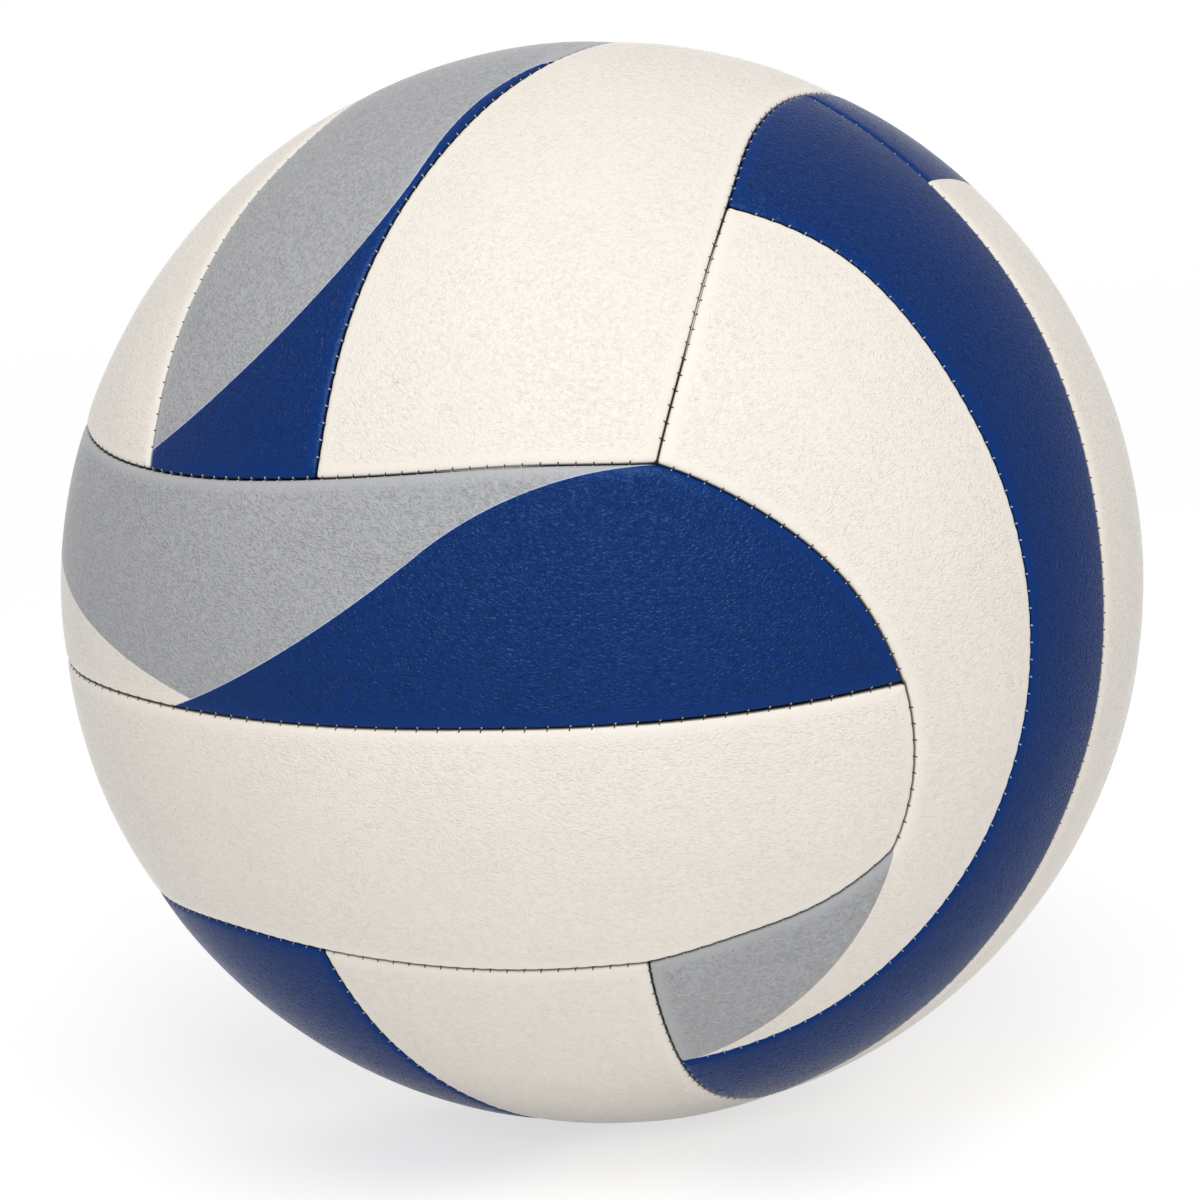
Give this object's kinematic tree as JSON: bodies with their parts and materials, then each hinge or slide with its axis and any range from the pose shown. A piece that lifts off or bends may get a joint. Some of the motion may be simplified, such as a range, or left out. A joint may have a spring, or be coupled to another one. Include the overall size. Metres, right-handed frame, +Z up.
{
  "type": "volleyball",
  "caption": "Inflated indoor volleyball of sewn blue, white and grey leather panels over foam and cloth, with a rubber bladder and needle valve.",
  "frame": {"origin": "centre of the ball", "axes": "+Z up as pictured, -Y out of the pair of broad front panels, +Y out of the valve, +X to the right of the front panels"},
  "size_m": [0.21, 0.2099, 0.21],
  "materials": {
    "white_leather": "satin, fine pebble grain",
    "blue_leather": "satin, fine pebble grain",
    "grey_leather": "satin, fine pebble grain",
    "foam": "closed-cell foam",
    "lining_cloth": "plain cotton and polyester weave",
    "thread": "waxed twisted thread",
    "bladder_rubber": "smooth butyl rubber",
    "valve_rubber": "moulded rubber",
    "core_rubber": "soft moulded rubber"
  },
  "bodies": {
    "root": {"front_upper_skin": "blue_leather", "front_lower_skin": "white_leather", "top_left_skin": "white_leather", "top_mid_skin": "grey_leather", "top_right_skin": "white_leather", "right_front_skin": "white_leather", "right_mid_skin": "blue_leather", "right_back_skin": "white_leather", "bottom_left_skin": "white_leather", "bottom_mid_skin": "blue_leather", "bottom_right_skin": "white_leather", "left_front_skin": "white_leather", "left_mid_skin": "blue_leather", "left_back_skin": "white_leather", "back_upper_skin": "white_leather", "back_mid_skin": "grey_leather", "back_lower_skin": "white_leather", "front_upper_foam": "foam", "front_lower_foam": "foam", "top_left_foam": "foam", "top_mid_foam": "foam", "top_right_foam": "foam", "right_front_foam": "foam", "right_mid_foam": "foam", "right_back_foam": "foam", "bottom_left_foam": "foam", "bottom_mid_foam": "foam", "bottom_right_foam": "foam", "left_front_foam": "foam", "left_mid_foam": "foam", "left_back_foam": "foam", "back_upper_foam": "foam", "back_mid_foam": "foam", "back_lower_foam": "foam", "front_upper_lining": "lining_cloth", "front_lower_lining": "lining_cloth", "top_left_lining": "lining_cloth", "top_mid_lining": "lining_cloth", "top_right_lining": "lining_cloth", "right_front_lining": "lining_cloth", "right_mid_lining": "lining_cloth", "right_back_lining": "lining_cloth", "bottom_left_lining": "lining_cloth", "bottom_mid_lining": "lining_cloth", "bottom_right_lining": "lining_cloth", "left_front_lining": "lining_cloth", "left_mid_lining": "lining_cloth", "left_back_lining": "lining_cloth", "back_upper_lining": "lining_cloth", "back_mid_lining": "lining_cloth", "back_lower_lining": "lining_cloth", "seam_thread": "thread", "bladder": "bladder_rubber", "bladder_patch": "bladder_rubber", "valve_housing": "valve_rubber", "valve_core": "core_rubber"}
  },
  "joints": []
}
